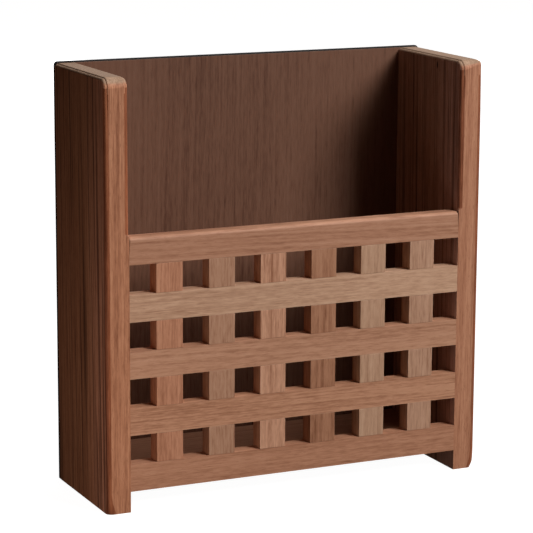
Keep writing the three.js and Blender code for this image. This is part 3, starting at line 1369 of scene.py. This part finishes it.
    def cutters(self) -> BMesh:
        """Gathers what is cut out of the board.

        Returns:
            The bottom board's groove, the dowel holes and the screws' pilot holes.
        """
        tools = bmesh.new()
        low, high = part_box("bottom_board")
        gap = self.clearance
        start = self.inner_x - self.side * PAST
        end = (high.x if self.side > 0 else low.x) + self.side * gap
        left, right = sorted((start, end))
        add_box(tools, (left, low.y, low.z - gap), (right, high.y + PAST, high.z + gap))
        radii = (Lattice.dowel_radius, Lattice.dowel_radius)
        for dowel in DOWELS[self.side > 0:: 2]:
            low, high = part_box(dowel)
            end = (high.x if self.side > 0 else low.x) + self.side * gap
            add_bar(tools, (low + high) / 2, 0, (start, end), radii)
        drill_pilots(tools, self.low, self.high)
        return tools

    def build(self) -> None:
        """Builds and dresses the board."""
        made = self.shell()
        wide, tall = self.foot_cut
        if wide > 0.0:
            out, front = self.side * wide, self.low.y - MM
            wedge = ((-2 * out, -tall), (out, -tall), (out, 2 * tall))
            along = Vector((0.0, self.high.y - front + MM, 0.0))
            cut(made, prism([(self.outer_x + x, front, z) for x, z in wedge], along))
        ease_edges(made, self.foot_ease, lambda ends: all(end.z < HAIR for end in ends))
        cut(made, self.cutters())
        material = self.wood.material(f"{self.name}_teak", (self.low + self.high) / 2)
        finish_piece(made, material, [self.name])


@dataclass
class BottomBoard:
    """The board that the magazines stand on, housed in the side boards' grooves."""

    wood: Wood
    eased: float = 0.4 * MM

    def build(self) -> None:
        """Builds and dresses the board."""
        low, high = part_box("bottom_board")
        build, tools = bmesh.new(), bmesh.new()
        add_box(build, low, high)
        drill_pilots(tools, low, high)
        made = solid("bottom_board_teak", build)
        cut(made, tools)
        ease_edges(made, self.eased)
        material = self.wood.material("bottom_board_teak", (low + high) / 2)
        finish_piece(made, material, ["bottom_board"])


@dataclass
class BackPanel:
    """The thin panel screwed over the back, its top corners rounded like the side boards."""

    finish: DarkEdgedPly
    corner: float = 2.5 * MM
    eased: float = 0.3 * MM
    top_bevel: float = 0.95 * MM
    hole_gap: float = 0.05 * MM

    def build(self) -> None:
        """Builds, bevels and drills the panel, and dresses it."""
        low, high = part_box("back_panel")
        radius, top = self.corner, high.z - self.corner
        outline = [(low.x, low.z), (high.x, low.z)]
        outline += arc((high.x - radius, top), radius, 0.0, 90.0, 6)
        outline += arc((low.x + radius, top), radius, 90.0, 180.0, 6)
        along = Vector((0.0, low.y - high.y, 0.0))
        made = solid("back_panel_ply", prism([(x, high.y, z) for x, z in outline], along))
        ease_edges(made, self.top_bevel, lambda ends: all(
            end.y < low.y + HAIR and end.z > top - HAIR for end in ends
        ), 1)
        tools = bmesh.new()
        head = ScrewSet.head_radius + self.hole_gap
        shank = ScrewSet.thread_radius + self.hole_gap
        seat = high.y - ScrewSet.head_depth
        for screw in SCREWS:
            add_bar(tools, middle_of(screw), 1, (seat, high.y + self.hole_gap), (shank, head))
            add_bar(tools, middle_of(screw), 1, (low.y - MM, seat + HAIR), (shank, shank))
        cut(made, tools)
        rim = {round(value, 5) for value in (low.x, high.x, low.z, high.z)}
        ease_edges(made, self.eased, lambda ends: all(
            round(end.x, 5) in rim or round(end.z, 5) in rim or end.z > top for end in ends
        ))
        mark_faces(made, "sawn", lambda normal: abs(normal.y) < 0.9)
        material = self.finish.material("back_panel_ply", (low + high) / 2, high.y - low.y)
        finish_piece(made, material, ["back_panel"])


# ---------------------------------------------------------------- studio
@dataclass(frozen=True)
class Softbox:
    """A square studio light that shines at the middle of the rack."""

    name: str
    place: Point
    size: float
    power: float
    colour: Colour = (1.0, 1.0, 1.0)

    def build(self, aim: Vector) -> None:
        """Makes the light.

        Args:
            aim: The point that it shines at.
        """
        data = bpy.data.lights.new(self.name, "AREA")
        data.shape = "SQUARE"
        data.size = self.size
        data.energy = self.power
        data.color = self.colour
        light = bpy.data.objects.new(self.name, data)
        light.location = self.place
        light.rotation_euler = (aim - Vector(self.place)).to_track_quat("-Z", "Y").to_euler()
        light.visible_camera = False
        bpy.context.scene.collection.objects.link(light)


@dataclass(frozen=True)
class Studio:
    """The floor, the lights and the camera, whose angles are in degrees."""

    eye: Point = (-0.6457, -1.3780, 0.4547)
    heading: float = 25.04
    downward: float = 11.55
    roll: float = -0.29
    lens: float = 156.1
    sensor: float = 36.0
    sight: Pair = (0.05, 100.0)
    floor_size: float = 14.0
    ambient: Colour = (0.045, 0.030, 0.021)
    lights: tuple[Softbox, ...] = (
        Softbox("key", (1.15, -1.75, 1.45), 0.9, 54.0, (1.0, 0.98, 0.95)),
        Softbox("overhead", (0.75, -0.30, 1.6), 0.9, 9.0),
        Softbox("card_left", (-0.27, -0.15, 0.03), 0.14, 0.110, (1.0, 0.80, 0.68)),
        Softbox("behind", (0.9, 2.3, 0.4), 1.4, 26.0),
    )

    def camera(self) -> None:
        """Makes the camera from its heading, tilt and roll."""
        heading, downward = math.radians(self.heading), math.radians(self.downward)
        flat = Vector((math.sin(heading), math.cos(heading), 0.0))
        ahead = flat * math.cos(downward) - Vector((0.0, 0.0, math.sin(downward)))
        right = Vector((math.cos(heading), -math.sin(heading), 0.0))
        turn = Matrix.Rotation(math.radians(self.roll), 3, ahead)
        axes = Matrix((turn @ right, turn @ right.cross(ahead), -ahead)).transposed().to_4x4()
        data = bpy.data.cameras.new("camera")
        data.lens = self.lens
        data.sensor_width = self.sensor
        data.clip_start, data.clip_end = self.sight
        camera = bpy.data.objects.new("camera", data)
        camera.matrix_world = Matrix.Translation(self.eye) @ axes
        bpy.context.scene.collection.objects.link(camera)
        bpy.context.scene.camera = camera

    def floor(self, height: float) -> None:
        """Lays the floor, which shows but sends no light back onto the rack.

        Args:
            height: Its height.
        """
        build = bmesh.new()
        bmesh.ops.create_grid(build, x_segments=2, y_segments=2, size=self.floor_size / 2)
        made = solid("floor", build)
        made.location.z = height
        made.data.materials.append(PaleFloor().material("pale_floor"))
        made.visible_diffuse = False
        made.visible_glossy = False
        made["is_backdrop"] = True

    def build(self) -> None:
        """Builds the whole studio."""
        scene = bpy.context.scene
        scene.view_settings.view_transform = "Standard"
        world = bpy.data.worlds.new("studio")
        world.use_nodes = True
        world.node_tree.nodes["Background"].inputs["Color"].default_value = (*self.ambient, 1.0)
        scene.world = world
        low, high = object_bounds()
        self.floor(low.z)
        for light in self.lights:
            light.build((low + high) / 2)
        self.camera()


# ---------------------------------------------------------------- everything
def main() -> None:
    """Builds the rack piece by piece, and the studio round it."""
    logging.basicConfig(level=logging.INFO, format="%(name)s: %(message)s")
    SideBoard("left_side_board", -1, SIDE_WOODS[0]).build()
    foot_cut = (3.6 * MM, 5.6 * MM)
    SideBoard("right_side_board", 1, SIDE_WOODS[1], outer_corner=3.4 * MM, foot_cut=foot_cut).build()
    BottomBoard(BOARD_WOOD).build()
    BackPanel(DarkEdgedPly(SHADED_BACK_WOOD)).build()
    Lattice().build()
    copies = copies_recipe()
    ScrewSet().build(copies)
    DowelSet(BEECH_WOOD).build(copies)
    Studio().build()


if __name__ == "__main__":
    main()
